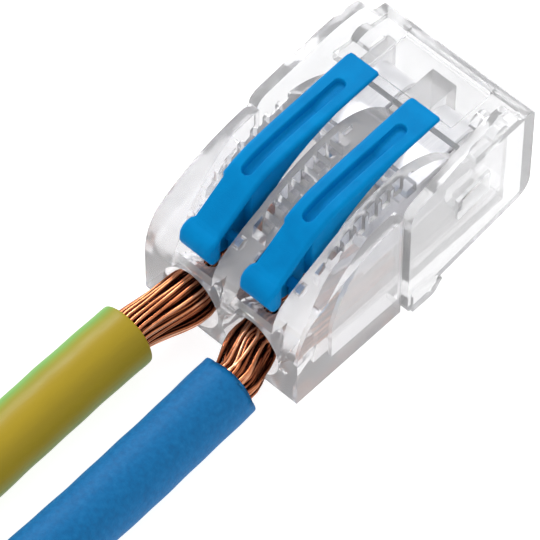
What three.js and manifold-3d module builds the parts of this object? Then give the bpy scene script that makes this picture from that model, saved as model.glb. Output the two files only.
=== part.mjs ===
// Two-pole lever wire connector: a clear front housing with a push-fit rear cover, two pivoting
// levers, a common busbar, two clamping springs and the two stranded wires that it joins.
// Units are millimetres. +X runs across the poles, +Y from the wire entries to the rear, +Z up.
// The origin is the middle of the connector's base, under its bounding box.
import * as THREE from 'three';
import { mergeVertices } from 'three/addons/utils/BufferGeometryUtils.js';
import Module from 'manifold-3d';

const wasm = await Module();
wasm.setup();

// ---------- driving dimensions ----------
const PITCH = 5.6;                  // distance between the two poles
const LENGTH = 24;                  // front face to rear wall
const FRONT = -LENGTH / 2;          // the wire-entry face
const HOUSING_HALF = 7.1;           // half width of the front housing
const FRONT_BLOCK = 10.4;           // depth of the full-width part of the housing
const ARC_R = 17.1;                 // side profile: long arc over the top
const ARC_Y = 11.0;                 // its centre, behind the front face
const ARC_TOP = 10.9;               // its crown height
const NOSE_R = 1.9;                 // rounded front corner of the side profile
const CHEEK_OUT = 5.3;              // outer face of the walls beside the chambers
const CHAMBER_HALF = 1.7;           // half width of one lever slot and clamping chamber
const OUTER_WALL_IN = 6.2;          // inner face of the housing's outer side walls
const HOUSING_END = 22.4;           // rear end of the housing, inside the cover
const REAR_TOP = 8.5;               // housing height under the cover's top plate
const FLOOR = 0.45;                 // housing floor under the busbar
const PORT_Z = 2.85;                // height of the wire entries
const PORT_R = 2.45;                // radius of a wire entry at the face
const THROAT_R = 1.75;              // radius where the entry meets the chamber
const LIP_DEPTH = 0.4;              // wall in front of each lever slot
const LIP_FRONT = 5.95;             // height of its top at the front face
const LIP_BACK = 6.3;               // and at the slot

const POCKETS = 7;                  // coring pockets in a row along a wall
const POCKET_START = 3.9;
const POCKET_PITCH = 1.25;
const POCKET_LENGTH = 0.85;

const COVER_START = 10.7;           // front edge of the rear cover
const COVER_HALF = 7.5;             // its half width there
const COVER_DRAFT = 0.05;           // narrowing of each side per mm towards the rear
const COVER_WALL = 0.8;             // wall thickness
const PLATE_START = 17.9;           // front edge of the cover's top plate

const PIVOT_Y = 3.1;                // lever pivot, behind the front face
const PIVOT_Z = 7.75;               // and above the base
const TRUNNION_R = 0.42;            // pivot pin moulded on each side of the lever
const FOOT_SWEEP = 3.08;            // clear radius about the pivot for the lever's foot
const LEVER_HALF = 1.36;            // half width of a lever
const NECK_HALF = 1.08;             // over the pivot
const FOOT_HALF = 1.48;             // and at the foot
const LEVER_END = 17.2;             // free end of the closed lever

const STRIP = 0.35;                 // spring strip thickness
const SPRING_HALF = 1.4;            // half width of the spring strip
const BEND_Y = 19.8;                // centre of the spring's rear bend
const BEND_Z = 6.8;
const BEND_R = 1.5;
const LEG_START = 12.6;             // front end of the spring's fixed leg
const CLAMP_Y = 8.6;                // clamping edge of the moving leg
const CLAMP_Z = 4.72;

const BAR_FRONT = 5.2;              // busbar plate
const BAR_REAR = 20.4;
const BAR_BOTTOM = 0.55;
const BAR_TOP = 1.1;
const BAR_HALF = 4.3;

const STRANDS_R = 1.55;             // bare conductor bundle
const INSULATION_R = 2.42;          // insulated wire, 4.84 across

const poles = [{ name: 'left', x: -PITCH / 2 }, { name: 'right', x: PITCH / 2 }];

// ---------- helpers ----------
// A closed three.js geometry as a solid that can be joined and cut.
function solid(geometry) {
  const bare = geometry.index ? geometry.toNonIndexed() : geometry.clone();
  bare.deleteAttribute('normal');
  bare.deleteAttribute('uv');
  const merged = mergeVertices(bare, 1e-5);
  return new wasm.Manifold(new wasm.Mesh({
    numProp: 3,
    vertProperties: new Float32Array(merged.attributes.position.array),
    triVerts: new Uint32Array(merged.index.array),
  }));
}

// A solid back as a flat-shaded three.js mesh.
function part(name, body, material) {
  const found = body.getMesh();
  const geometry = new THREE.BufferGeometry();
  geometry.setAttribute('position', new THREE.BufferAttribute(found.vertProperties, 3));
  geometry.setIndex(new THREE.BufferAttribute(found.triVerts, 1));
  geometry.computeVertexNormals();
  const mesh = new THREE.Mesh(geometry, material);
  mesh.name = name;
  return mesh;
}

// Side outlines are drawn in (depth behind the front face, height) and extruded across X.
const ACROSS = new THREE.Matrix4().makeBasis(
  new THREE.Vector3(0, 1, 0),
  new THREE.Vector3(0, 0, 1),
  new THREE.Vector3(1, 0, 0),
);

function acrossGeometry(outline, x0, x1, segments = 10) {
  const geometry = new THREE.ExtrudeGeometry(outline, {
    depth: x1 - x0,
    bevelEnabled: false,
    curveSegments: segments,
  });
  geometry.applyMatrix4(ACROSS);
  geometry.translate(x0, FRONT, 0);
  return geometry;
}

function across(outline, x0, x1, segments) {
  return solid(acrossGeometry(outline, x0, x1, segments));
}

// Plan outlines are drawn in (x, depth behind the front face) and extruded upwards.
function upward(outline, z0, z1, segments = 8) {
  const geometry = new THREE.ExtrudeGeometry(outline, {
    depth: z1 - z0,
    bevelEnabled: false,
    curveSegments: segments,
  });
  geometry.translate(0, FRONT, z0);
  return solid(geometry);
}

// A box between two corners, depths measured from the front face.
function box(x0, x1, y0, y1, z0, z1) {
  const geometry = new THREE.BoxGeometry(x1 - x0, y1 - y0, z1 - z0);
  geometry.translate((x0 + x1) / 2, FRONT + (y0 + y1) / 2, (z0 + z1) / 2);
  return solid(geometry);
}

// A round pin across X, and a round or tapered plug along Y.
function pinAcross(x0, x1, y, z, radius, sides = 24) {
  const geometry = new THREE.CylinderGeometry(radius, radius, x1 - x0, sides);
  geometry.rotateZ(Math.PI / 2);
  geometry.translate((x0 + x1) / 2, FRONT + y, z);
  return solid(geometry);
}

function plugAlong(x, z, y0, y1, radius0, radius1, sides = 32) {
  const geometry = new THREE.CylinderGeometry(radius1, radius0, y1 - y0, sides);
  geometry.translate(x, FRONT + (y0 + y1) / 2, z);
  return solid(geometry);
}

function outlineOf(points) {
  return new THREE.Shape(points.map(([a, b]) => new THREE.Vector2(a, b)));
}

function joined(pieces) {
  return pieces.reduce((sum, next) => sum.add(next));
}

function cut(body, tools) {
  return tools.reduce((left, tool) => left.subtract(tool), body);
}

// ---------- materials ----------
function clearPlastic() {
  return new THREE.MeshStandardMaterial({
    color: 0xeef1f4,
    roughness: 0.08,
    metalness: 0,
    transparent: true,
    opacity: 0.3,
  });
}

function plain(color, roughness, metalness) {
  return new THREE.MeshStandardMaterial({ color, roughness, metalness });
}

const leverBlue = () => plain(0x0087d6, 0.42, 0);
const tinnedCopper = () => plain(0xb9b7b2, 0.35, 1);
const springSteel = () => plain(0x9a9da1, 0.25, 1);
const bareCopper = () => plain(0xb8683c, 0.3, 1);
const greenYellow = () => plain(0x9d9a2c, 0.5, 0);
const wireBlue = () => plain(0x2a76b4, 0.55, 0);

// ---------- front housing ----------
// Height of the long arc over the housing at a depth behind the front face.
const arcHeight = (y) => ARC_TOP - ARC_R + Math.sqrt(ARC_R ** 2 - (y - ARC_Y) ** 2);

// Side outline of the chambers' walls. They rise a little above the side walls between the
// levers, and fall again under the cover's top plate.
function coreOutline() {
  const outline = new THREE.Shape();
  outline.moveTo(HOUSING_END, 0);
  outline.lineTo(HOUSING_END, REAR_TOP);
  outline.lineTo(PLATE_START, REAR_TOP);
  outline.quadraticCurveTo(15.6, 11.5, 12.4, 11.85);
  outline.quadraticCurveTo(8.6, 11.7, 5.6, 10.15);
  outline.quadraticCurveTo(3.2, 8.8, 1.7, 7.45);
  outline.lineTo(LIP_DEPTH, LIP_BACK);
  outline.lineTo(0.2, 3);
  outline.lineTo(0.2, 0);
  return outline;
}

// Height of those walls over the chambers, near enough for the pockets cut into them.
const wallTop = (y) => arcHeight(y) + 0.148 * (y - 5.2);

// Side outline of the housing: flat base, upright front face, rounded nose, long arc, flat rear.
function sideOutline(end) {
  const noseStart = arcHeight(0) - NOSE_R * 1.25;
  const noseEnd = NOSE_R * 0.62;
  const outline = new THREE.Shape();
  outline.moveTo(end, 0);
  outline.lineTo(end, Math.min(arcHeight(Math.min(end, ARC_Y)), ARC_TOP));
  const steps = 14;
  for (let i = 0; i <= steps; i += 1) {
    const y = ARC_Y + ((noseEnd - ARC_Y) * i) / steps;
    if (y < end) outline.lineTo(y, arcHeight(y));
  }
  outline.quadraticCurveTo(0.12, arcHeight(0) - 0.45, 0, noseStart);
  outline.lineTo(0, 0);
  return outline;
}

function frontHousing() {
  const block = across(sideOutline(FRONT_BLOCK), -HOUSING_HALF, HOUSING_HALF);
  const core = across(coreOutline(), -CHEEK_OUT, CHEEK_OUT);
  let body = block.add(core);

  // Coring pockets between the chambers' walls and the outer side walls, open above and behind.
  for (const side of [-1, 1]) {
    const inner = side * CHEEK_OUT;
    const outer = side * OUTER_WALL_IN;
    const low = Math.min(inner, outer);
    const high = Math.max(inner, outer);
    const pocket = new THREE.Shape();
    pocket.moveTo(3.8, 1.3);
    pocket.lineTo(LENGTH, 0.9);
    pocket.lineTo(LENGTH, ARC_TOP + 1);
    pocket.lineTo(9.6, ARC_TOP + 1);
    pocket.quadraticCurveTo(5.0, 9.2, 3.8, 4.6);
    body = body.subtract(across(pocket, low, high));
  }

  const tools = [];
  for (const pole of poles) {
    const left = pole.x - CHAMBER_HALF;
    const right = pole.x + CHAMBER_HALF;
    // The lever slot behind the front lip, and the clamping chamber below and behind it.
    tools.push(box(left, right, LIP_DEPTH, 3.0, PORT_Z + PORT_R + 0.15, ARC_TOP + 2));
    const lip = outlineOf([
      [-0.5, LIP_FRONT], [0, LIP_FRONT], [LIP_DEPTH, LIP_BACK], [1, LIP_BACK], [1, 12], [-0.5, 12],
    ]);
    tools.push(across(lip, left, right));
    tools.push(pinAcross(left, right, PIVOT_Y, PIVOT_Z, FOOT_SWEEP, 48));
    tools.push(box(left, right, 2.7, LENGTH, BAR_TOP, ARC_TOP + 2));
    // The wire entry: a short round mouth with a chamfered rim, then a funnel to the chamber.
    tools.push(plugAlong(pole.x, PORT_Z, -0.25, 0.35, PORT_R + 0.25, PORT_R - 0.02));
    tools.push(plugAlong(pole.x, PORT_Z, 0.2, 1.4, PORT_R, PORT_R - 0.1));
    tools.push(plugAlong(pole.x, PORT_Z, 1.3, 2.9, PORT_R - 0.1, THROAT_R));
    // Blind bearings for the lever's pivot pins.
    tools.push(pinAcross(left - 0.4, right + 0.4, PIVOT_Y, PIVOT_Z, TRUNNION_R + 0.1));
  }
  // Rows of small coring pockets, with ribs between them, down the wall between the levers and
  // down the outer face of each wall beside them.
  for (let i = 0; i < POCKETS; i += 1) {
    const y = POCKET_START + POCKET_PITCH * i;
    const bottom = wallTop(y) - 1.2;
    tools.push(box(-0.6, 0.6, y, y + POCKET_LENGTH, bottom, ARC_TOP + 2));
    for (const side of [-1, 1]) {
      const near = side * (CHEEK_OUT - 0.3);
      const far = side * (CHEEK_OUT + 0.1);
      tools.push(box(
        Math.min(near, far),
        Math.max(near, far),
        y,
        y + POCKET_LENGTH,
        bottom,
        ARC_TOP + 2,
      ));
    }
  }
  // The channel that the busbar slides into from the rear.
  tools.push(box(-BAR_HALF - 0.1, BAR_HALF + 0.1, BAR_FRONT - 0.2, LENGTH, FLOOR, BAR_TOP + 0.08));
  body = cut(body, tools);

  const additions = [];
  for (const pole of poles) {
    // A crossbar over each chamber keeps the spring's fixed leg down.
    additions.push(box(
      pole.x - CHAMBER_HALF - 0.1,
      pole.x + CHAMBER_HALF + 0.1,
      13.0,
      14.0,
      BEND_Z + BEND_R + STRIP / 2 + 0.12,
      9.5,
    ));
  }
  for (const side of [-1, 1]) {
    // A latch wedge on each side: steep in front, ramped behind.
    const wedge = outlineOf([
      [side * (CHEEK_OUT - 0.1), 16.1],
      [side * 6.95, 16.1],
      [side * 6.95, 16.6],
      [side * (CHEEK_OUT - 0.1), 18.9],
    ]);
    additions.push(upward(wedge, 5.7, 7.2));
  }
  return body.add(joined(additions));
}

// ---------- rear cover ----------
// Moves points inwards towards the rear, so that the side walls have a moulding draft.
function drafted(geometry) {
  const position = geometry.attributes.position;
  for (let i = 0; i < position.count; i += 1) {
    const depth = position.getY(i) - FRONT - COVER_START;
    const x = position.getX(i);
    position.setX(i, x - Math.sign(x) * COVER_DRAFT * depth);
  }
  return geometry;
}

function coverSide() {
  const outline = new THREE.Shape();
  outline.moveTo(COVER_START, 0.35);
  outline.quadraticCurveTo(COVER_START, 0, COVER_START + 0.35, 0);
  outline.lineTo(12.7, 0);
  outline.bezierCurveTo(13.5, 0, 13.5, 0.65, 14.4, 0.68);
  outline.lineTo(LENGTH - 1.3, 0.8);
  outline.quadraticCurveTo(LENGTH, 0.95, LENGTH, 2.3);
  outline.lineTo(LENGTH, 9.3);
  outline.quadraticCurveTo(LENGTH, 9.78, LENGTH - 0.5, 9.8);
  outline.lineTo(22.9, 9.9);
  outline.bezierCurveTo(21.5, 10.1, 22.0, 12.5, 20.4, 12.6);
  outline.quadraticCurveTo(18.6, 12.72, 16.6, 12.25);
  outline.lineTo(12.2, 11.3);
  outline.quadraticCurveTo(COVER_START, 11.1, COVER_START, 10.2);
  outline.lineTo(COVER_START, 0.35);
  return outline;
}

function rearCover() {
  const shell = solid(drafted(acrossGeometry(coverSide(), -COVER_HALF, COVER_HALF, 6)));
  const innerHalf = COVER_HALF - COVER_WALL;
  const cavity = outlineOf([
    [COVER_START - 1, -1],
    [LENGTH - COVER_WALL, -1],
    [LENGTH - COVER_WALL, 9.0],
    [PLATE_START, 9.35],
    [PLATE_START, 14],
    [COVER_START - 1, 14],
  ]);
  // The top plate lies lower than the side walls, so that a finger can reach under the levers.
  const reach = outlineOf([
    [PLATE_START - 1, 10.2],
    [LENGTH + 1, 9.72],
    [LENGTH + 1, 14],
    [PLATE_START - 1, 14],
  ]);
  let body = shell
    .subtract(solid(drafted(acrossGeometry(cavity, -innerHalf, innerHalf))))
    .subtract(solid(drafted(acrossGeometry(reach, -innerHalf, innerHalf))));
  const recess = outlineOf([[18.7, 9.8], [22.6, 9.6], [22.6, 12], [18.7, 12]]);
  body = body.subtract(across(recess, -3.85, 3.85));
  // Latch windows for the housing's wedges.
  body = body.subtract(box(-COVER_HALF - 1, COVER_HALF + 1, 15.8, 19.3, 5.4, 7.5));
  // A raised bar behind the recess, and a rounded boss beside each side wall.
  const additions = [box(-3.85, 3.85, 22.7, 23.3, 9.4, 10.2)];
  for (const side of [-1, 1]) {
    const x0 = side > 0 ? 4.6 : -6.5;
    const boss = pinAcross(x0, x0 + 1.9, 20.5, 9.9, 0.9);
    additions.push(boss.subtract(box(-COVER_HALF, COVER_HALF, 19, 22, 7.5, 9.35)));
    // A thickened foot at the lower front corner of each side wall.
    const foot = new THREE.Shape();
    foot.moveTo(COVER_START + 0.3, 0);
    foot.lineTo(12.7, 0);
    foot.bezierCurveTo(13.5, 0, 13.5, 0.65, 14.0, 1.0);
    foot.quadraticCurveTo(12.6, 1.9, COVER_START + 0.3, 2.0);
    const reachX = side * (COVER_HALF + 0.22);
    const rootX = side * (COVER_HALF - 0.5);
    additions.push(across(foot, Math.min(reachX, rootX), Math.max(reachX, rootX)));
  }
  return body.add(joined(additions));
}

// ---------- levers ----------
function leverSide() {
  const outline = new THREE.Shape();
  outline.moveTo(LEVER_END, 12.88);
  outline.lineTo(12.3, 12.72);
  outline.quadraticCurveTo(9.2, 12.68, 7.1, 12.42);
  outline.quadraticCurveTo(5.4, 12.1, 4.3, 11.4);
  outline.quadraticCurveTo(2.9, 10.45, 1.7, 9.65);
  outline.lineTo(0.75, 9.3);
  outline.quadraticCurveTo(0.14, 9.05, 0.2, 8.3);
  outline.lineTo(0.2, 7.75);
  outline.quadraticCurveTo(0.22, 7.25, 0.65, 7.2);
  outline.lineTo(1.55, 7.25);
  outline.absarc(PIVOT_Y, PIVOT_Z, 1.5, Math.PI * 1.05, Math.PI * 1.85, false);
  outline.quadraticCurveTo(6.0, 9.0, 7.6, 10.3);
  outline.quadraticCurveTo(9.6, 11.7, 13.0, 12.35);
  outline.lineTo(LEVER_END, 12.58);
  return outline;
}

// Plan of a lever: straight sides, a shoulder in front of them, a narrow neck and a wide rounded
// foot. One corner of the free end is nearly square.
function leverPlan(x) {
  const outline = new THREE.Shape();
  outline.moveTo(x - LEVER_HALF + 0.4, LEVER_END);
  outline.lineTo(x + LEVER_HALF - 0.1, LEVER_END);
  outline.lineTo(x + LEVER_HALF, LEVER_END - 0.1);
  outline.lineTo(x + LEVER_HALF, 4.7);
  outline.lineTo(x + NECK_HALF, 4.4);
  outline.lineTo(x + NECK_HALF, 2.1);
  outline.quadraticCurveTo(x + NECK_HALF, 1.7, x + FOOT_HALF - 0.1, 1.5);
  outline.quadraticCurveTo(x + FOOT_HALF, 1.3, x + FOOT_HALF, 0.9);
  outline.quadraticCurveTo(x + FOOT_HALF, 0, x + FOOT_HALF - 0.7, 0);
  outline.lineTo(x - FOOT_HALF + 0.7, 0);
  outline.quadraticCurveTo(x - FOOT_HALF, 0, x - FOOT_HALF, 0.9);
  outline.quadraticCurveTo(x - FOOT_HALF, 1.3, x - FOOT_HALF + 0.1, 1.5);
  outline.quadraticCurveTo(x - NECK_HALF, 1.7, x - NECK_HALF, 2.1);
  outline.lineTo(x - NECK_HALF, 4.4);
  outline.lineTo(x - LEVER_HALF, 4.7);
  outline.lineTo(x - LEVER_HALF, LEVER_END - 0.4);
  outline.quadraticCurveTo(x - LEVER_HALF, LEVER_END, x - LEVER_HALF + 0.4, LEVER_END);
  return outline;
}

// A long round-ended groove in the lever's top, following its slope.
function leverGroove(x) {
  const half = 0.48;
  const start = 5.2;
  const end = 15.1;
  const outline = new THREE.Shape();
  outline.absarc(x, start + half, half, Math.PI, Math.PI * 2, false);
  outline.absarc(x, end - half, half, 0, Math.PI, false);
  const shaft = upward(outline, 9, 14, 6);
  const depth = new THREE.Shape();
  depth.moveTo(4.5, 11.05);
  depth.quadraticCurveTo(7.5, 12.2, 12.3, 12.42);
  depth.lineTo(16, 12.52);
  depth.lineTo(16, 14);
  depth.lineTo(4.5, 14);
  return shaft.intersect(across(depth, x - 1, x + 1));
}

// The cam lobes under the pivot lift the spring's side ears as the lever opens.
function leverLobe(x0, x1) {
  const outline = new THREE.Shape();
  outline.moveTo(PIVOT_Y - 0.4, PIVOT_Z);
  outline.lineTo(PIVOT_Y + 0.4, PIVOT_Z);
  outline.absarc(PIVOT_Y, PIVOT_Z, 2.45, -Math.PI * 0.3, -Math.PI * 0.56, true);
  return across(outline, x0, x1);
}

function lever(x) {
  const blade = across(leverSide(), x - LEVER_HALF - 0.5, x + LEVER_HALF + 0.5, 8)
    .intersect(upward(leverPlan(x), 4, 15, 5));
  const pins = pinAcross(x - 1.98, x + 1.98, PIVOT_Y, PIVOT_Z, TRUNNION_R);
  const lobes = leverLobe(x - 1.35, x - 0.95).add(leverLobe(x + 0.95, x + 1.35));
  return joined([blade, pins, lobes]).subtract(leverGroove(x));
}

// ---------- busbar ----------
function busbar() {
  const pieces = [box(-BAR_HALF, BAR_HALF, BAR_FRONT, BAR_REAR, BAR_BOTTOM, BAR_TOP)];
  for (const pole of poles) {
    // An upturned stop behind each conductor, and a low ridge under its clamping edge.
    pieces.push(box(pole.x - 1.3, pole.x + 1.3, BAR_REAR - 0.55, BAR_REAR, BAR_TOP - 0.1, 4.2));
    const ridge = outlineOf([
      [CLAMP_Y - 0.5, BAR_TOP - 0.1],
      [CLAMP_Y + 0.5, BAR_TOP - 0.1],
      [CLAMP_Y, BAR_TOP + 0.12],
    ]);
    pieces.push(across(ridge, pole.x - 1.3, pole.x + 1.3));
  }
  return joined(pieces);
}

// ---------- springs ----------
// The fixed half of the strip: the upper leg and the rear bend.
function springAnchor(x) {
  const outer = BEND_R + STRIP / 2;
  const inner = BEND_R - STRIP / 2;
  const outline = new THREE.Shape();
  outline.moveTo(LEG_START, BEND_Z + inner);
  outline.lineTo(LEG_START, BEND_Z + outer);
  outline.lineTo(BEND_Y, BEND_Z + outer);
  outline.absarc(BEND_Y, BEND_Z, outer, Math.PI / 2, -Math.PI / 2, true);
  outline.lineTo(BEND_Y, BEND_Z - inner);
  outline.absarc(BEND_Y, BEND_Z, inner, -Math.PI / 2, Math.PI / 2, false);
  return across(outline, x - SPRING_HALF, x + SPRING_HALF, 12);
}

// A straight stretch of strip between two points of its centre line.
function stripOutline(y0, z0, y1, z1) {
  const length = Math.hypot(y1 - y0, z1 - z0);
  const ny = (-(z1 - z0) / length) * (STRIP / 2);
  const nz = ((y1 - y0) / length) * (STRIP / 2);
  return outlineOf([
    [y0 + ny, z0 + nz], [y0 - ny, z0 - nz], [y1 - ny, z1 - nz], [y1 + ny, z1 + nz],
  ]);
}

// The moving half: the clamping leg, and a lifting ear at each side of its edge.
function springClamp(x) {
  const startY = BEND_Y - 0.12;
  const startZ = BEND_Z - BEND_R;
  const leg = across(stripOutline(startY, startZ, CLAMP_Y, CLAMP_Z), x - SPRING_HALF, x + SPRING_HALF);
  const rootY = 9.6;
  const rootZ = startZ + ((CLAMP_Z - startZ) * (rootY - startY)) / (CLAMP_Y - startY);
  const ear = stripOutline(rootY, rootZ, 5.75, 5.95);
  const ears = across(ear, x - SPRING_HALF, x - SPRING_HALF + 0.42)
    .add(across(ear, x + SPRING_HALF - 0.42, x + SPRING_HALF));
  return leg.add(ears);
}

// ---------- wires ----------
// Centre lines as points (x, depth behind the front face, z), from the tip to the far end.
const wires = [
  {
    name: 'left',
    colour: greenYellow,
    bare: [
      [-2.8, 11.6, 2.85], [-2.8, 6.0, 2.85], [-2.8, 1.6, 2.85], [-2.95, -0.6, 2.85],
      [-3.4, -2.6, 2.85], [-3.74, -4.2, 2.84], [-3.79, -4.8, 2.83],
    ],
    insulated: [
      [-3.8, -5.1, 2.82], [-3.82, -8.0, 2.8], [-3.81, -12.0, 2.7], [-3.72, -17.0, 2.58],
      [-3.52, -23.0, 2.5], [-3.25, -30.0, 2.47], [-3.0, -36.4, 2.47],
    ],
  },
  {
    name: 'right',
    colour: wireBlue,
    bare: [
      [2.8, 11.6, 2.85], [2.8, 6.0, 2.85], [2.8, 1.6, 2.85], [3.0, -0.2, 2.85],
      [3.52, -1.5, 2.85], [3.94, -2.45, 2.83], [4.04, -2.9, 2.82],
    ],
    insulated: [
      [4.06, -3.2, 2.82], [4.15, -6.0, 2.79], [4.27, -10.0, 2.7], [4.36, -15.0, 2.58],
      [4.4, -21.0, 2.5], [4.4, -28.0, 2.47], [4.4, -34.2, 2.47],
    ],
  },
];

// A plain round rod along a wire's centre line.
function rod(points, radius, sides, steps) {
  const path = new THREE.CatmullRomCurve3(
    points.map(([x, depth, z]) => new THREE.Vector3(x, FRONT + depth, z)),
  );
  const section = new THREE.Shape();
  for (let i = 0; i < sides; i += 1) {
    const angle = ((i + 0.5) * 2 * Math.PI) / sides;
    const reach = radius / Math.cos(Math.PI / sides) ** 0.5;
    const corner = [Math.cos(angle) * reach, Math.sin(angle) * reach];
    if (i === 0) section.moveTo(...corner);
    else section.lineTo(...corner);
  }
  return solid(new THREE.ExtrudeGeometry(section, { extrudePath: path, steps, bevelEnabled: false }));
}

// ---------- assembly ----------
const connector = new THREE.Group();
connector.add(part('front_housing', frontHousing(), clearPlastic()));
connector.add(part('rear_cover', rearCover(), clearPlastic()));
connector.add(part('busbar', busbar(), tinnedCopper()));
for (const pole of poles) {
  connector.add(part(`lever_${pole.name}`, lever(pole.x), leverBlue()));
  connector.add(part(`spring_${pole.name}_anchor`, springAnchor(pole.x), springSteel()));
  connector.add(part(`spring_${pole.name}_clamp`, springClamp(pole.x), springSteel()));
}
for (const wire of wires) {
  const strands = rod(wire.bare, STRANDS_R, 12, 14);
  const insulation = rod(wire.insulated, INSULATION_R, 12, 12);
  connector.add(part(`wire_${wire.name}_strands`, strands, bareCopper()));
  connector.add(part(`wire_${wire.name}_insulation`, insulation, wire.colour()));
}

export default connector;
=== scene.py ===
# The looks of a two-pole lever wire connector: clear housing and cover, blue levers, stranded
# copper and its insulation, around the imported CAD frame. Lengths are written in millimetres,
# apart from the stage, which is in metres.
import math
import random

import bmesh
import bpy
from mathutils import Matrix, Vector


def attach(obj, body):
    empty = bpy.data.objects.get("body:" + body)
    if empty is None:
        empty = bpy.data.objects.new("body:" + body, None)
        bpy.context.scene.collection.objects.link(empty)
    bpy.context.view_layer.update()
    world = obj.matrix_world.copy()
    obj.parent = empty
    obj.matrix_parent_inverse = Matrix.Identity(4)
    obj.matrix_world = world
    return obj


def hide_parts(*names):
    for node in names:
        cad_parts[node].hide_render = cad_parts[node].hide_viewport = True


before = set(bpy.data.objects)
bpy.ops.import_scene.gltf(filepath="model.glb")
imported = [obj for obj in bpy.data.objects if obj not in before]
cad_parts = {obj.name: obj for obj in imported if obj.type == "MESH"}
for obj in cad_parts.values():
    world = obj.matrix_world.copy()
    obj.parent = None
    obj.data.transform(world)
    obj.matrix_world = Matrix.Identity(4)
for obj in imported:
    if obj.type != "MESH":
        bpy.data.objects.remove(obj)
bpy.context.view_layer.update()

MM = 0.001
CURVE_STEPS = 24                     # points computed between two given points of a curve
HALF_LENGTH = 12.0                   # the wire-entry face is this far in front of the origin
POLES = {"left": -2.8, "right": 2.8}

PIVOT = (3.1, 7.75)                  # a lever's pivot: depth behind the front face, height
PIN_R = 0.42                         # the pins a lever turns on
PIN_REACH = 1.98                     # half their length across the lever
LOBE_R = 2.45                        # reach of the cam lobes under the pivot
LOBE_TURN = (-54, -101)              # degrees about the pivot at the ends of a lobe's edge
LOBE_FOOT = 0.4                      # half a lobe's width at the pivot
LOBE_PLACES = (-1.35, 0.95)          # left faces of the two lobes, from the lever's middle
LOBE_THICKNESS = 0.4
LEVER_HALF = 1.36                    # half width behind the neck
LEVER_END = 17.2                     # depth of the free end
# A lever's side outline from its free end forwards, as (depth, height): its top and its
# underside, in straight pieces (one point) and curved ones (a control point and a point).
LEVER_TOP = [
    [(LEVER_END, 12.88)],
    [(12.3, 12.72)],
    [(9.2, 12.68), (7.1, 12.42)],
    [(5.4, 12.1), (4.3, 11.4)],
    [(2.9, 10.45), (1.7, 9.65)],
    [(1.3, 9.46)],
    [(0.32, 9.15), (0.2, 8.4)],
]
LEVER_UNDER = [
    [(LEVER_END, 12.58)],
    [(13.0, 12.35)],
    [(9.6, 11.7), (7.6, 10.3)],
    [(6.0, 9.0), (4.44, 7.07)],
    [(3.95, 6.25), (3.1, 6.25)],
    [(2.0, 6.25), (1.55, 7.25)],
    [(0.8, 7.22)],
    [(0.66, 7.24), (0.56, 7.44)],
    [(0.24, 8.16)],
    [(0.18, 8.3), (0.2, 8.4)],
]
NECK_SKIN = 0.36                     # thickness left over the neck's cut on the right
NECK_CUT_HALF = 0.7                  # half width left inside that cut
NECK_BELOW = 1.2                     # behind the nose, the plan is narrower only at the neck
NOSE_END = 1.0                       # depth at which the nose counts as ended
GROOVE = (5.7, 14.62)                # depths of the centres of the groove's round ends
GROOVE_HALF = 0.5                    # half its width at the top
GROOVE_WALL = 0.17                   # run of its sloped wall
GROOVE_DROP = 0.55                   # how deep it is
LEVER_SECTIONS = 260                 # sections from the free end to the nose
LEVER_EASE = 0.05                    # rounding of the free end
CROWN_R = 0.3                        # rounding of a lever's top edges
KEEL_R = 0.12                        # and of its bottom edges
CORNER_LEFT = 0.4                    # radii of the free end's corners, from above
CORNER_RIGHT = 0.1
# Half width of a lever along its length, as (depth, half width).
LEVER_PLAN = [
    (0.15, 0.95), (0.2, 1.1), (0.3, 1.27), (0.5, 1.41), (0.9, 1.48), (1.3, 1.46), (1.5, 1.38),
    (1.75, 1.16), (2.1, 1.08), (4.42, 1.08), (4.5, 1.13), (4.62, 1.32), (4.7, LEVER_HALF),
    (LEVER_END, LEVER_HALF),
]

STRAND_R = 0.15                      # one copper strand
STRAND_RINGS = (1, 6, 12, 18, 24, 23)  # strands in each ring, from the middle out
STRAND_POINTS = 90                   # points along each strand
RING_STEP = 1.93                     # strand radii from one ring to the next
BUNDLE_R = 1.55                      # furthest a strand's middle gets from the bundle's
FAN_OUT = 3.0                        # length in which their spreading fades towards the sleeve
FAN_IN = 1.1                         # and towards the port, which is narrower
INSULATION_R = 2.42
INSULATION_POINTS = 64               # points along the insulation
INSULATION_SIDES = 64                # and round it
BORE_R = 1.72                        # inside of the insulation
SWELL = 0.012                        # unevenness of its outside
CUT_TURN = math.radians(295)         # the way round the wire that its slanted cut is shortest

CAMERA_AZIMUTH = math.radians(42.848)
CAMERA_ELEVATION = math.radians(54.806)
CAMERA_ROLL = math.radians(0.442)
CAMERA_DISTANCE = 342.2
CAMERA_LENS = 333.33
CAMERA_SENSOR = 36
CAMERA_AIM = (0.0, 12.0, 5.0)
CAMERA_OFFSET = (-4.87, -4.93)       # from the aim to the middle of the frame, right and up

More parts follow.
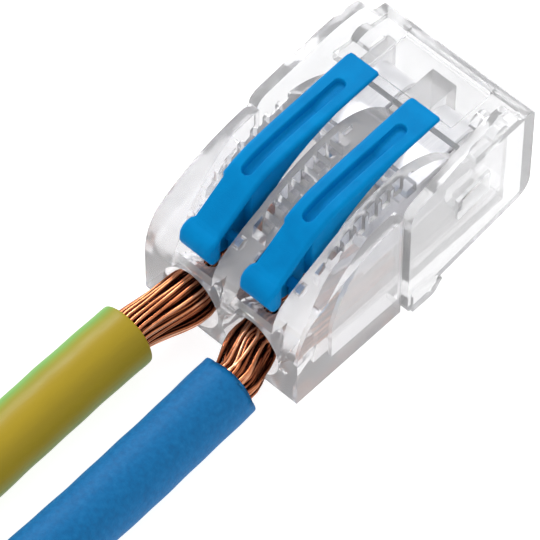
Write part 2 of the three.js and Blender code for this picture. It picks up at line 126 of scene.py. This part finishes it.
# The wires' centre lines, as (x, depth behind the front face, height), and how their strands lie.
WIRES = {
    "left": {
        "bare": [
            (-2.8, 11.6, 2.85), (-2.8, 6.0, 2.85), (-2.8, 1.6, 2.85), (-2.95, -0.6, 2.85),
            (-3.4, -2.6, 2.85), (-3.74, -4.2, 2.84), (-3.79, -4.8, 2.83),
        ],
        "insulated": [
            (-3.8, -5.1, 2.82), (-3.82, -8.0, 2.8), (-3.81, -12.0, 2.7), (-3.72, -17.0, 2.58),
            (-3.52, -23.0, 2.5), (-3.25, -30.0, 2.47), (-3.0, -36.4, 2.47),
        ],
        "twist": 0.05,               # radians that the strands turn in a millimetre
        "splay": 0.3,                # how much wider the bundle gets at the mouth of the port
        "slant": 0.1,                # how far from square the insulation is cut
        "cross": 0.35,               # radians that the strands wander past each other there
        "mouth": 11.6,               # distance from the clamped tip to where it is widest
        "stray": 0.08,               # looseness of single strands
        "seed": 3,
    },
    "right": {
        "bare": [
            (2.8, 11.6, 2.85), (2.8, 6.0, 2.85), (2.8, 1.6, 2.85), (3.0, -0.2, 2.85),
            (3.52, -1.5, 2.85), (3.94, -2.45, 2.83), (4.04, -2.9, 2.82),
        ],
        "insulated": [
            (4.06, -3.2, 2.82), (4.15, -6.0, 2.79), (4.27, -10.0, 2.7), (4.36, -15.0, 2.58),
            (4.4, -21.0, 2.5), (4.4, -28.0, 2.47), (4.4, -34.2, 2.47),
        ],
        "twist": -0.04,
        "splay": 0.18,
        "slant": 0.65,
        "cross": 0.9,
        "mouth": 12.0,
        "stray": 0.12,
        "seed": 8,
    },
}


# ---------- helpers ----------
def at(x, depth, z):
    """A point in the frame, from millimetres with the depth measured behind the front face."""
    return Vector((x, depth - HALF_LENGTH, z)) * MM


def add_object(name, data):
    obj = bpy.data.objects.new(name, data)
    bpy.context.scene.collection.objects.link(obj)
    return obj


def mesh_piece(name, verts, faces, material):
    mesh = bpy.data.meshes.new(name)
    mesh.from_pydata([tuple(v) for v in verts], [], faces)
    mesh.materials.append(material)
    mesh.validate()
    mesh.shade_smooth()
    mesh.update()
    return add_object(name, mesh)


def evenly(fine, count):
    """Evenly spaced points along a line that is given by many close ones."""
    travelled = [0.0]
    for p, q in zip(fine, fine[1:]):
        travelled.append(travelled[-1] + (q - p).length)
    points = []
    j = 0
    for i in range(count):
        want = travelled[-1] * i / (count - 1)
        while j < len(fine) - 2 and travelled[j + 1] < want:
            j += 1
        span = max(travelled[j + 1] - travelled[j], 1e-9)
        points.append(fine[j].lerp(fine[j + 1], min((want - travelled[j]) / span, 1)))
    return points


def smooth_line(points, count):
    """Evenly spaced points on a Catmull-Rom curve through the given ones."""
    points = [Vector(p) for p in points]
    ends = [2 * points[0] - points[1]] + points + [2 * points[-1] - points[-2]]
    fine = []
    for i in range(1, len(ends) - 2):
        a, b, c, d = ends[i - 1:i + 3]
        for k in range(CURVE_STEPS):
            t = k / CURVE_STEPS
            fine.append(0.5 * (
                2 * b + (c - a) * t + (2 * a - 5 * b + 4 * c - d) * t ** 2
                + (3 * b - a - 3 * c + d) * t ** 3
            ))
    fine.append(points[-1])
    return evenly(fine, count)


def path_length(line):
    return sum((q - p).length for p, q in zip(line, line[1:]))


def frames(line):
    """For each point of a line: its tangent and two directions across it, with no twist."""
    result = []
    side = Vector((1, 0, 0))
    for i in range(len(line)):
        tangent = (line[min(i + 1, len(line) - 1)] - line[max(i - 1, 0)]).normalized()
        side = (side - tangent * side.dot(tangent)).normalized()
        result.append((tangent, side, side.cross(tangent)))
    return result


def tube(line, radius, sides, verts, faces):
    """Adds a round rod along a line to the lists of corners and faces."""
    base = len(verts)
    for point, (_, a, b) in zip(line, frames(line)):
        for k in range(sides):
            angle = 2 * math.pi * k / sides
            verts.append(point + a * math.cos(angle) * radius + b * math.sin(angle) * radius)
    for i in range(len(line) - 1):
        for k in range(sides):
            n = (k + 1) % sides
            row = base + i * sides
            faces.append((row + k, row + n, row + sides + n, row + sides + k))
    last = base + (len(line) - 1) * sides
    faces.append(tuple(base + k for k in reversed(range(sides))))
    faces.append(tuple(last + k for k in range(sides)))


# ---------- materials ----------
def new_material(name):
    material = bpy.data.materials.new(name)
    material.use_nodes = True
    nodes = material.node_tree.nodes
    return material, nodes, material.node_tree.links, nodes["Principled BSDF"]


def noise(nodes, links, scale, detail, stretch=None):
    """A noise texture in object space; scale is in features per millimetre."""
    coords = nodes.new("ShaderNodeTexCoord")
    source = coords.outputs["Object"]
    if stretch:
        mapping = nodes.new("ShaderNodeMapping")
        mapping.inputs["Scale"].default_value = stretch
        links.new(source, mapping.inputs["Vector"])
        source = mapping.outputs["Vector"]
    texture = nodes.new("ShaderNodeTexNoise")
    texture.inputs["Scale"].default_value = scale / MM
    texture.inputs["Detail"].default_value = detail
    links.new(source, texture.inputs["Vector"])
    return texture.outputs["Fac"]


def ramp(nodes, links, source, stops):
    """Turns a 0 to 1 value into colour, by stops of (position, colour)."""
    node = nodes.new("ShaderNodeValToRGB")
    elements = node.color_ramp.elements
    while len(elements) < len(stops):
        elements.new(0.5)
    for element, (position, colour) in zip(elements, stops):
        element.position = position
        element.color = (*colour, 1)
    links.new(source, node.inputs["Fac"])
    return node.outputs["Color"]


def levels(nodes, links, source, low, high):
    """Spreads a 0 to 1 value over low to high."""
    node = nodes.new("ShaderNodeMapRange")
    node.inputs["To Min"].default_value = low
    node.inputs["To Max"].default_value = high
    links.new(source, node.inputs["Value"])
    return node.outputs["Result"]


def bump(nodes, links, bsdf, layers):
    """Chains bump layers of (height, depth in millimetres) into the shader's normal."""
    normal = None
    for height, depth in layers:
        node = nodes.new("ShaderNodeBump")
        node.inputs["Strength"].default_value = 1.0
        node.inputs["Distance"].default_value = depth * MM
        links.new(height, node.inputs["Height"])
        if normal:
            links.new(normal, node.inputs["Normal"])
        normal = node.outputs["Normal"]
    links.new(normal, bsdf.inputs["Normal"])


def clear_plastic(name, tint):
    material, nodes, links, bsdf = new_material(name)
    bsdf.inputs["Base Color"].default_value = (*tint, 1)
    bsdf.inputs["IOR"].default_value = 1.36
    cloud = noise(nodes, links, 0.35, 3)
    links.new(levels(nodes, links, cloud, 0.87, 0.78), bsdf.inputs["Transmission Weight"])
    links.new(levels(nodes, links, cloud, 0.02, 0.08), bsdf.inputs["Roughness"])
    wave = noise(nodes, links, 0.35, 2)
    bump(nodes, links, bsdf, [(wave, 0.02)])
    return material


def lever_plastic():
    material, nodes, links, bsdf = new_material("lever_plastic")
    mottle = noise(nodes, links, 0.6, 5)
    colour = ramp(nodes, links, mottle, [(0.3, (0.0, 0.185, 0.46)), (0.7, (0.0, 0.225, 0.535))])
    links.new(colour, bsdf.inputs["Base Color"])
    bsdf.inputs["Specular IOR Level"].default_value = 0.04
    grain = noise(nodes, links, 9, 3)
    links.new(levels(nodes, links, grain, 0.36, 0.5), bsdf.inputs["Roughness"])
    bump(nodes, links, bsdf, [(grain, 0.012), (noise(nodes, links, 1.2, 2), 0.02)])
    return material


def copper():
    """Painted light and shade: bright where a strand faces out of the bundle, as a painted
    highlight, and dull and dark down in the gaps, as painted shade.
    """
    material, nodes, links, bsdf = new_material("copper_strand")
    uv = nodes.new("ShaderNodeUVMap")
    uv.uv_map = "outward"
    split = nodes.new("ShaderNodeSeparateXYZ")
    links.new(uv.outputs["UV"], split.inputs["Vector"])
    patch = noise(nodes, links, 0.9, 4)
    # Painted shade: the facing value from the outward map, low in the gaps and on the inner rings,
    # plus random patches of tone.
    painted_shade_and_patches = nodes.new("ShaderNodeMath")
    painted_shade_and_patches.operation = "MULTIPLY_ADD"
    painted_shade_and_patches.inputs[1].default_value = 0.5
    links.new(patch, painted_shade_and_patches.inputs[0])
    links.new(split.outputs["X"], painted_shade_and_patches.inputs[2])
    shifted = nodes.new("ShaderNodeMath")
    shifted.operation = "MULTIPLY_ADD"
    shifted.inputs[1].default_value = 0.3
    links.new(split.outputs["Y"], shifted.inputs[0])
    links.new(painted_shade_and_patches.outputs["Value"], shifted.inputs[2])
    level = nodes.new("ShaderNodeMath")
    level.operation = "MULTIPLY"
    level.inputs[1].default_value = 0.54
    links.new(shifted.outputs["Value"], level.inputs[0])
    # Painted light: the dark stops are painted shade in the gaps, and the brightest stop is a
    # painted highlight where strands face out.
    colour = ramp(nodes, links, level.outputs["Value"], [
        (0.22, (0.035, 0.010, 0.006)),
        (0.52, (0.24, 0.066, 0.028)),
        (0.74, (0.60, 0.22, 0.10)),
        (0.95, (0.97, 0.60, 0.40)),
    ])
    links.new(colour, bsdf.inputs["Base Color"])
    bsdf.inputs["Metallic"].default_value = 1.0
    draw = noise(nodes, links, 1.5, 3, stretch=(1.0, 0.25, 1.0))
    links.new(levels(nodes, links, draw, 0.16, 0.3), bsdf.inputs["Roughness"])
    bump(nodes, links, bsdf, [(draw, 0.006)])
    return material


def metal(name, low, high, roughness):
    material, nodes, links, bsdf = new_material(name)
    streak = noise(nodes, links, 2.0, 4, stretch=(4.0, 0.3, 1.0))
    links.new(ramp(nodes, links, streak, [(0.3, low), (0.7, high)]), bsdf.inputs["Base Color"])
    bsdf.inputs["Metallic"].default_value = 1.0
    links.new(levels(nodes, links, streak, *roughness), bsdf.inputs["Roughness"])
    bump(nodes, links, bsdf, [(streak, 0.006)])
    return material


def insulation_stripes():
    """Yellow insulation with a green stripe along each side. The stripe on the wire's lower right
    is painted darker, as painted shade.
    """
    material, nodes, links, bsdf = new_material("insulation_green_yellow")
    uv = nodes.new("ShaderNodeUVMap")
    uv.uv_map = "around"
    split = nodes.new("ShaderNodeSeparateXYZ")
    links.new(uv.outputs["UV"], split.inputs["Vector"])
    edge = noise(nodes, links, 0.5, 3)
    shifted = nodes.new("ShaderNodeMath")
    shifted.operation = "MULTIPLY_ADD"
    shifted.inputs[1].default_value = 0.02
    links.new(edge, shifted.inputs[0])
    links.new(split.outputs["X"], shifted.inputs[2])
    green = (0.15, 0.36, 0.055)
    green_in_painted_shade = (0.17, 0.24, 0.02)
    yellow = (0.37, 0.265, 0.012)
    olive = (0.30, 0.27, 0.02)
    # The dark band near 0.1 is the green stripe with painted shade, where that side of the wire is
    # in shade. The bright green band is the stripe's own colour.
    stripes = ramp(nodes, links, shifted.outputs["Value"], [
        (0.0, olive), (0.04, green_in_painted_shade), (0.18, green_in_painted_shade), (0.24, yellow), (0.42, yellow),
        (0.46, green), (0.645, green), (0.70, olive), (0.76, yellow), (0.96, yellow), (1.0, olive),
    ])
    mottle = nodes.new("ShaderNodeMix")
    mottle.data_type = "RGBA"
    mottle.blend_type = "MULTIPLY"
    mottle.inputs["Factor"].default_value = 1.0
    links.new(stripes, mottle.inputs["A"])
    shade = ramp(nodes, links, noise(nodes, links, 0.8, 5, (1, 0.2, 1)), [
        (0.25, (0.93, 0.93, 0.93)), (0.75, (1.04, 1.03, 1.02)),
    ])
    links.new(shade, mottle.inputs["B"])
    links.new(mottle.outputs["Result"], bsdf.inputs["Base Color"])
    skin = noise(nodes, links, 3, 4, (1, 0.15, 1))
    bsdf.inputs["Specular IOR Level"].default_value = 0.22
    links.new(levels(nodes, links, skin, 0.34, 0.5), bsdf.inputs["Roughness"])
    bump(nodes, links, bsdf, [(skin, 0.012), (noise(nodes, links, 0.5, 2, (1, 0.2, 1)), 0.03)])
    return material


def insulation_matte():
    material, nodes, links, bsdf = new_material("insulation_blue")
    mottle = noise(nodes, links, 2.4, 5)
    colour = ramp(nodes, links, mottle, [
        (0.3, (0.0, 0.112, 0.30)),
        (0.55, (0.0, 0.135, 0.35)),
        (0.8, (0.006, 0.158, 0.385)),
    ])
    links.new(colour, bsdf.inputs["Base Color"])
    bsdf.inputs["Specular IOR Level"].default_value = 0.2
    skin = noise(nodes, links, 5, 5)
    links.new(levels(nodes, links, skin, 0.5, 0.68), bsdf.inputs["Roughness"])
    bump(nodes, links, bsdf, [(skin, 0.035), (noise(nodes, links, 0.5, 2, (1, 0.2, 1)), 0.05)])
    return material


# ---------- camera ----------
def make_camera():
    right = Vector((math.cos(CAMERA_AZIMUTH), math.sin(CAMERA_AZIMUTH), 0))
    level = math.cos(CAMERA_ELEVATION)
    forward = Vector((
        -math.sin(CAMERA_AZIMUTH) * level,
        math.cos(CAMERA_AZIMUTH) * level,
        -math.sin(CAMERA_ELEVATION),
    ))
    up = right.cross(forward)
    across = right * math.cos(CAMERA_ROLL) + up * math.sin(CAMERA_ROLL)
    above = up * math.cos(CAMERA_ROLL) - right * math.sin(CAMERA_ROLL)
    target = at(*CAMERA_AIM) + (across * CAMERA_OFFSET[0] + above * CAMERA_OFFSET[1]) * MM
    data = bpy.data.cameras.new("camera")
    data.lens = CAMERA_LENS
    data.sensor_width = CAMERA_SENSOR
    data.clip_start = 0.01
    data.clip_end = 10
    camera = add_object("camera", data)
    place = Matrix((across, above, -forward)).transposed().to_4x4()
    place.translation = target - forward * CAMERA_DISTANCE * MM
    camera.matrix_world = place
    bpy.context.scene.camera = camera


# ---------- wires ----------
def strand_seats():
    """Where each strand sits in the bundle: ring radius and angle, in millimetres and radians."""
    seats = []
    for ring, count in enumerate(STRAND_RINGS):
        for k in range(count):
            turn = 2 * math.pi * (k + 0.5 * (ring % 2)) / count
            seats.append((ring * STRAND_R * RING_STEP, turn))
    return seats


def make_strands(name, wire, material):
    """Every strand of one conductor, from its clamped tip to the wire's far end."""
    chance = random.Random(wire["seed"])
    count = STRAND_POINTS
    line = smooth_line([at(*p) for p in wire["bare"] + wire["insulated"]], count)
    around = frames(line)
    step = path_length(line) / (count - 1) / MM
    bare_until = path_length([at(*p) for p in wire["bare"]]) / MM / step
    verts = []
    faces = []
    outward = []
    for radius, turn in strand_seats():
        phase = [chance.uniform(0, 2 * math.pi) for _ in range(4)]
        lively = chance.uniform(0.4, 1.0) * wire["stray"]
        wander = chance.uniform(-0.5, 0.5)
        polish = chance.random()
        shorten = chance.randint(0, 1)
        # The inner strands hardly show, so they have fewer sides and points.
        sides = 8 if radius > 1.0 else 6
        points = []
        facing = []
        for i in range(shorten, count, 1 if radius > 0.8 else 2):
            s = i * step
            # Strands are loose only where they are bare.
            loose = lively * (1 / (1 + math.exp((i - bare_until + 2) * 1.4)))
            past = s - wire["mouth"]
            fan = math.exp(-(past / (FAN_OUT if past > 0 else FAN_IN)) ** 2)
            angle = turn + wire["twist"] * s + wire["cross"] * wander * fan
            spread = 1 + wire["splay"] * fan
            sway = math.sin(s * 0.4 + phase[0])
            ripple = math.sin(s * 0.9 + phase[1])
            reach = radius * spread + (loose * sway + 0.3 * loose * ripple)
            reach = min(max(reach, 0), BUNDLE_R * spread)
            angle += loose * math.sin(s * 0.35 + phase[2]) / max(reach, 0.5)
            _, a, b = around[i]
            offset = a * math.cos(angle) + b * math.sin(angle)
            points.append(line[i] + offset * reach * MM)
            facing.append(offset)
        first = len(verts)
        tube(points, STRAND_R * MM, sides, verts, faces)
        # Painted shade: inner rings and the sides of strands that face into the bundle get lower
        # values, which the copper ramp paints darker. The second value is a random tone for each
        # strand.
        lit_share = min(radius / 1.4, 1) ** 2
        for k, vert in enumerate(verts[first:]):
            i = k // sides
            out = (vert - points[i]).normalized().dot(facing[i])
            outward.append((max(0, 0.35 + 0.65 * out) * lit_share, polish))
    piece = mesh_piece(name, verts, faces, material)
    layer = piece.data.uv_layers.new(name="outward")
    for loop in piece.data.loops:
        layer.data[loop.index].uv = outward[loop.vertex_index]
    return piece


def make_insulation(name, wire, material):
    """A sleeve with a bore for the strands and a slightly rounded rim at each end, of which the
    one by the bare strands is cut a little slantwise."""
    chance = random.Random(wire["seed"] + 20)
    line = smooth_line([at(*p) for p in wire["insulated"]], INSULATION_POINTS)
    around = frames(line)
    sides = INSULATION_SIDES
    lips = [chance.uniform(-0.05, 0.05) for _ in range(8)]

    def ring(i, radius, push=0.0, ragged=0.0):
        """The sleeve's section at a point of its line, pushed along it and torn a little."""
        tangent, a, b = around[i]
        row = []
        for k in range(sides):
            angle = 2 * math.pi * k / sides
            out = radius + ragged * math.sin(3 * angle + lips[0] * 60)
            direction = a * math.cos(angle) + b * math.sin(angle)
            slip = push + ragged * sum(
                lip * 8 * math.sin((n + 1) * angle + n * 1.7) for n, lip in enumerate(lips[:5])
            )
            if i == 0:
                slip += wire["slant"] * math.cos(angle - CUT_TURN)
            row.append(line[i] + direction * out * MM + tangent * slip * MM)
        return row

    rows = [
        ring(6, BORE_R),
        ring(0, BORE_R, 0.05, 0.02),
        ring(0, BORE_R + 0.05, 0.0, 0.02),
        ring(0, INSULATION_R - 0.1, 0.0, 0.02),
        ring(0, INSULATION_R - 0.02, 0.05, 0.02),
        ring(0, INSULATION_R, 0.16, 0.01),
    ]
    end = len(line) - 1
    for i in range(1, end):
        swell = SWELL * math.sin(i * 0.9 + lips[1] * 50)
        swell += SWELL * math.sin(i * 0.37 + lips[2] * 50)
        rows.append(ring(i, INSULATION_R + swell))
    rows += [
        ring(end, INSULATION_R, -0.16),
        ring(end, INSULATION_R - 0.02, -0.05),
        ring(end, INSULATION_R - 0.1),
        ring(end, BORE_R + 0.05),
        ring(end, BORE_R, -0.05),
        ring(end - 6, BORE_R),
    ]
    verts = [v for row in rows for v in row]
    faces = []
    for i in range(len(rows)):
        j = (i + 1) % len(rows)
        for k in range(sides):
            n = (k + 1) % sides
            faces.append((i * sides + k, j * sides + k, j * sides + n, i * sides + n))
    piece = mesh_piece(name, verts, faces, material)
    layer = piece.data.uv_layers.new(name="around")
    for polygon in piece.data.polygons:
        columns = [v % sides for v in polygon.vertices]
        wraps = max(columns) - min(columns) > 1
        for loop, column in zip(polygon.loop_indices, columns):
            u = sides if wraps and column == 0 else column
            v = polygon.vertices[loop - polygon.loop_start] // sides
            layer.data[loop].uv = (u / sides, v / len(rows))
    return piece, line


def make_wires():
    strand_material = copper()
    sleeves = {"left": insulation_stripes(), "right": insulation_matte()}
    for side, wire in WIRES.items():
        strands = make_strands(f"strands_{side}", wire, strand_material)
        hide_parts(f"wire_{side}_strands")
        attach(strands, f"wire_{side}")
        sleeve, line = make_insulation(f"insulation_{side}", wire, sleeves[side])
        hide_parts(f"wire_{side}_insulation")
        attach(sleeve, f"wire_{side}")


# ---------- levers ----------
def outline_points(pieces, count):
    """Evenly spaced points along an outline of straight and curved pieces."""
    fine = [Vector(pieces[0][0])]
    for piece in pieces[1:]:
        start = fine[-1].copy()
        end = Vector(piece[-1])
        bend = Vector(piece[0]) if len(piece) == 2 else (start + end) / 2
        for k in range(1, CURVE_STEPS + 1):
            t = k / CURVE_STEPS
            fine.append(start * (1 - t) ** 2 + bend * 2 * t * (1 - t) + end * t ** 2)
    return evenly(fine, count)


def lever_half(depth, side, fall):
    """Half width of a lever at a depth, this far under its top. The neck is cut in from the left,
    and only under the top skin on the right; the round rear corner is on the left."""
    half = LEVER_PLAN[-1][1]
    for (d0, h0), (d1, h1) in zip(LEVER_PLAN, LEVER_PLAN[1:]):
        if depth <= d1:
            half = h0 + (h1 - h0) * max(0, (depth - d0) / (d1 - d0))
            break
    if side > 0 and depth > NOSE_END:
        if fall < NECK_SKIN:
            half = max(half, LEVER_HALF)
        elif half < NECK_BELOW:
            half = NECK_CUT_HALF
    corner = CORNER_LEFT if side < 0 else CORNER_RIGHT
    into = corner - (LEVER_END - depth)
    if into > 0:
        half -= corner - math.sqrt(max(corner ** 2 - into ** 2, 0))
    return half


def groove_drop(x, depth):
    """How far the long groove in a lever's top sinks at a point, with sloped walls."""
    along = min(max(depth, GROOVE[0]), GROOVE[1])
    edge = (GROOVE_HALF - math.hypot(x, depth - along)) / GROOVE_WALL
    edge = min(max(edge, 0), 1)
    return GROOVE_DROP * edge * edge * (3 - 2 * edge)


def lever_ring(x, top, under, shrink):
    """One section of a lever: across its top, down its right side, back below and up its left."""
    gap = (under - top).length
    down = (under - top) / max(gap, 1e-6)
    crown = min(CROWN_R, gap * 0.45)
    keel = min(KEEL_R, gap * 0.2)
    skin = min(NECK_SKIN, gap * 0.6)
    ring = []

    def put(side, inset, fall, across=None):
        """Adds a point at a side, or across the lever from -1 to 1, this far under its top."""
        place = top + down * fall
        half = lever_half(place.x, side, fall) - shrink
        reach = (half - inset) * (side if across is None else across)
        drop = groove_drop(reach, place.x) if across is not None and fall < gap / 2 else 0
        ring.append(at(x + reach, place.x, place.y - drop))

    for k in range(37):
        put(1, crown, shrink, k / 18 - 1)
    for k in range(1, 6):
        angle = math.pi * k / 10
        put(1, crown * (1 - math.sin(angle)), crown * (1 - math.cos(angle)))
    put(1, 0, skin - 0.01)
    for k in range(4):
        put(1, 0, skin + 0.04 + (gap - skin - 0.04 - keel) * k / 3)
    put(1, keel, gap - shrink)
    for k in range(1, 6):
        put(1, keel, gap - shrink, 1 - k / 2.5)
    put(-1, keel, gap - shrink)
    for k in range(3, -1, -1):
        put(-1, 0, crown + (gap - crown - keel) * k / 3)
    for k in range(4, 0, -1):
        angle = math.pi * k / 10
        put(-1, crown * (1 - math.sin(angle)), crown * (1 - math.cos(angle)))
    return ring


def prism(outline, x0, x1, verts, faces):
    """Adds a closed prism across X with the given (depth, height) outline."""
    base = len(verts)
    count = len(outline)
    for x in (x0, x1):
        verts.extend(at(x, depth, z) for depth, z in outline)
    for k in range(count):
        n = (k + 1) % count
        faces.append((base + k, base + n, base + count + n, base + count + k))
    faces.append(tuple(base + k for k in reversed(range(count))))
    faces.append(tuple(base + count + k for k in range(count)))


def arc(radius, start, end, count):
    """Points of an arc about the levers' pivot, angles in degrees."""
    angles = [math.radians(start + (end - start) * k / count) for k in range(count + 1)]
    return [(PIVOT[0] + radius * math.cos(a), PIVOT[1] + radius * math.sin(a)) for a in angles]


def make_lever(side, x, material):
    """One lever: a blade lofted between its two outlines, with its pins and cam lobes."""
    tops = outline_points(LEVER_TOP, LEVER_SECTIONS)
    unders = outline_points(LEVER_UNDER, LEVER_SECTIONS)
    # The first section is smaller, for a soft edge, and the last two are too thin to be drawn.
    rings = [lever_ring(x, tops[0], unders[0], LEVER_EASE)]
    rings += [lever_ring(x, top, under, 0.0) for top, under in zip(tops[1:-2], unders[1:-2])]
    across = len(rings[0])
    verts = [v for ring in rings for v in ring]
    faces = []
    for i in range(len(rings) - 1):
        for k in range(across):
            n = (k + 1) % across
            row = i * across
            faces.append((row + k, row + across + k, row + across + n, row + n))
    last = (len(rings) - 1) * across
    faces.append(tuple(range(across)))
    faces.append(tuple(last + k for k in reversed(range(across))))
    prism(arc(PIN_R, 0, 345, 23), x - PIN_REACH, x + PIN_REACH, verts, faces)
    lobe = [
        (PIVOT[0] + LOBE_FOOT, PIVOT[1]),
        *arc(LOBE_R, *LOBE_TURN, 10),
        (PIVOT[0] - LOBE_FOOT, PIVOT[1]),
    ]
    for place in LOBE_PLACES:
        prism(lobe, x + place, x + place + LOBE_THICKNESS, verts, faces)
    piece = mesh_piece(f"lever_{side}_blade", verts, faces, material)
    work = bmesh.new()
    work.from_mesh(piece.data)
    bmesh.ops.recalc_face_normals(work, faces=work.faces)
    work.to_mesh(piece.data)
    work.free()
    piece.data.set_sharp_from_angle(angle=math.radians(45))
    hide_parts(f"lever_{side}")
    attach(piece, f"lever_{side}")


# ---------- moulded pieces from the CAD shapes ----------
def softened(name, node, body, material, width):
    """Replaces a CAD node by a copy with its flat faces merged and every sharp edge rounded."""
    work = bmesh.new()
    work.from_mesh(bpy.data.objects[node].data)
    bmesh.ops.remove_doubles(work, verts=work.verts, dist=2e-6)
    bmesh.ops.dissolve_limit(
        work,
        angle_limit=math.radians(1.0),
        verts=work.verts,
        edges=work.edges,
    )
    edges = [
        e for e in work.edges
        if len(e.link_faces) == 2 and e.calc_face_angle(0) > math.radians(32)
    ]
    bmesh.ops.bevel(
        work,
        geom=edges,
        offset=width * MM,
        offset_type="OFFSET",
        segments=2,
        profile=0.5,
        affect="EDGES",
        clamp_overlap=True,
        loop_slide=True,
    )
    bmesh.ops.recalc_face_normals(work, faces=work.faces)
    mesh = bpy.data.meshes.new(name)
    work.to_mesh(mesh)
    work.free()
    mesh.materials.clear()
    mesh.materials.append(material)
    mesh.shade_smooth()
    mesh.set_sharp_from_angle(angle=math.radians(35))
    piece = add_object(name, mesh)
    even = piece.modifiers.new("even_faces", "WEIGHTED_NORMAL")
    even.weight = 100
    even.keep_sharp = True
    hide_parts(node)
    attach(piece, body)


def make_mouldings():
    clear = clear_plastic("clear_housing", (0.99, 0.985, 0.995))
    softened("housing", "front_housing", "housing", clear, 0.1)
    hood = clear_plastic("clear_cover", (0.985, 0.985, 0.99))
    softened("cover", "rear_cover", "housing", hood, 0.3)
    blue = lever_plastic()
    for side, x in POLES.items():
        make_lever(side, x, blue)


def finish_metal():
    steel = metal("spring_strip", (0.82, 0.82, 0.85), (0.94, 0.94, 0.96), (0.32, 0.5))
    tin = metal("tinned_bar", (0.66, 0.64, 0.62), (0.84, 0.82, 0.79), (0.28, 0.42))
    coated = {bpy.data.objects["busbar"]: tin}
    for side in POLES:
        for half in ("anchor", "clamp"):
            coated[bpy.data.objects[f"spring_{side}_{half}"]] = steel
    for obj, material in coated.items():
        obj.data.materials.clear()
        obj.data.materials.append(material)
        bevel = obj.modifiers.new("rounded", "BEVEL")
        bevel.width = 0.05 * MM
        bevel.segments = 2
        bevel.limit_method = "ANGLE"
        bevel.angle_limit = math.radians(40)


# ---------- stage, in metres ----------
def make_stage():
    verts = [(-3, -3, 0), (3, -3, 0), (3, 3, 0), (-3, 3, 0)]
    material, _, _, bsdf = new_material("floor")
    bsdf.inputs["Base Color"].default_value = (0.4, 0.4, 0.4, 1)
    bsdf.inputs["Roughness"].default_value = 0.9
    bsdf.inputs["Emission Color"].default_value = (1.0, 1.0, 1.0, 1)
    bsdf.inputs["Emission Strength"].default_value = 0.85
    floor = mesh_piece("floor", verts, [(0, 1, 2, 3)], material)
    floor.location.z = -0.0002

    world = bpy.data.worlds.new("studio")
    bpy.context.scene.world = world
    world.use_nodes = True
    nodes = world.node_tree.nodes
    links = world.node_tree.links
    background = nodes["Background"]
    coords = nodes.new("ShaderNodeTexCoord")
    split = nodes.new("ShaderNodeSeparateXYZ")
    links.new(coords.outputs["Generated"], split.inputs["Vector"])
    shade = ramp(nodes, links, split.outputs["Z"], [
        (0.0, (0.95, 0.95, 0.96)),
        (0.2, (0.83, 0.83, 0.86)),
        (0.5, (0.97, 0.97, 0.98)),
        (1.0, (1.0, 1.0, 1.0)),
    ])
    links.new(shade, background.inputs["Color"])
    background.inputs["Strength"].default_value = 0.92

    lamps = [
        ("key", (-0.38, 0.18, 0.38), 0.2, 1.75),
        ("back", (0.1, 0.5, 0.35), 0.4, 0.2),
    ]
    for name, place, size, power in lamps:
        data = bpy.data.lights.new(name, "AREA")
        data.shape = "DISK"
        data.size = size
        data.energy = power
        lamp = add_object(name, data)
        lamp.location = place
        lamp.rotation_mode = "QUATERNION"
        lamp.rotation_quaternion = (-Vector(place)).to_track_quat("-Z", "Y")
        lamp.visible_camera = False


make_camera()
make_wires()
make_mouldings()
finish_metal()
make_stage()
bpy.context.scene.view_settings.view_transform = "Standard"
bpy.context.scene.cycles.max_bounces = 32
bpy.context.scene.cycles.transmission_bounces = 32
